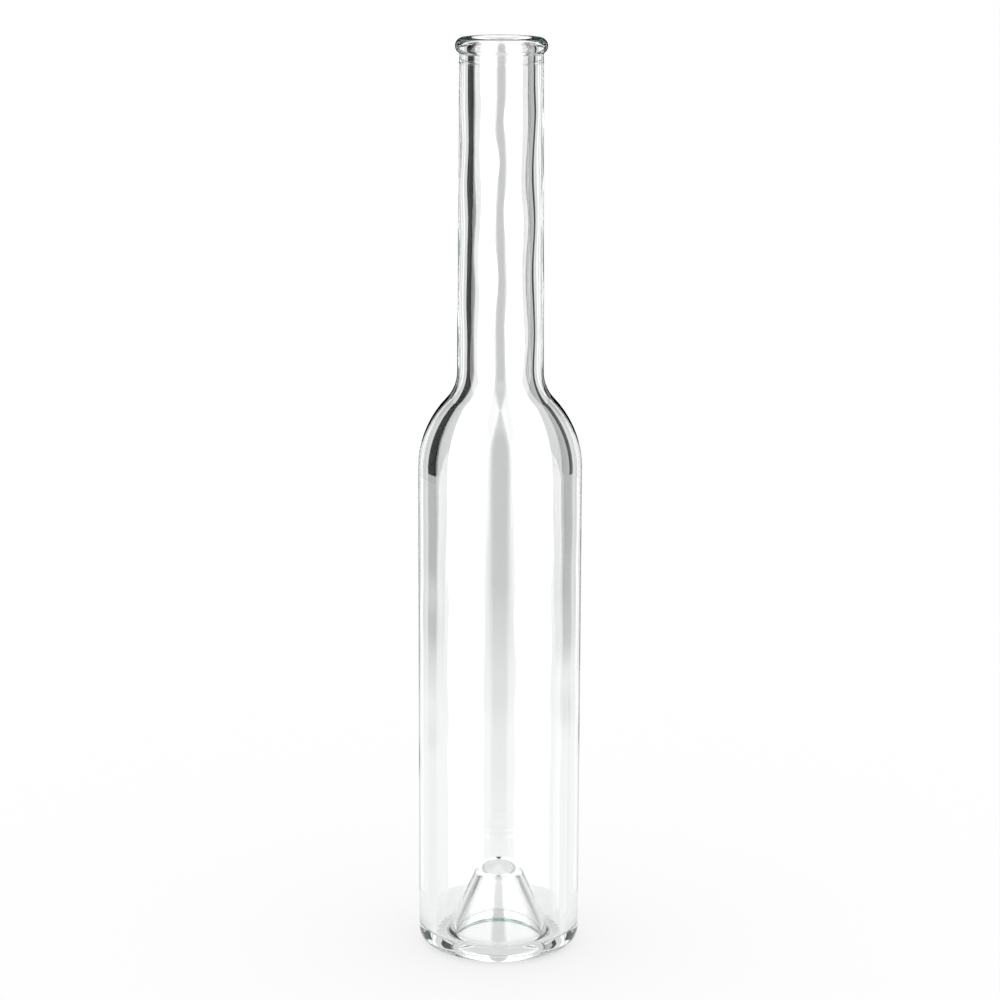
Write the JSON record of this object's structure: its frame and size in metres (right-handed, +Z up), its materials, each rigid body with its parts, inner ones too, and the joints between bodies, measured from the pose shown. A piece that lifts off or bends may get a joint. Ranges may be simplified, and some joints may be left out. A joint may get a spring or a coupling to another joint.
{
  "type": "long-neck glass bottle",
  "caption": "Slender clear glass bottle with a straight round thick-walled body, round shoulder, long neck, rounded lip ring and deep punt, open and empty.",
  "frame": {"origin": "centre of the foot, on the surface that the bottle stands on", "axes": "+Z up along the bottle's axis; the bottle is round, so +X and +Y are free"},
  "size_m": [0.055, 0.055, 0.3107],
  "materials": {
    "glass": "clear flint, fire polished"
  },
  "bodies": {
    "root": {"bottle": "glass"}
  },
  "joints": []
}
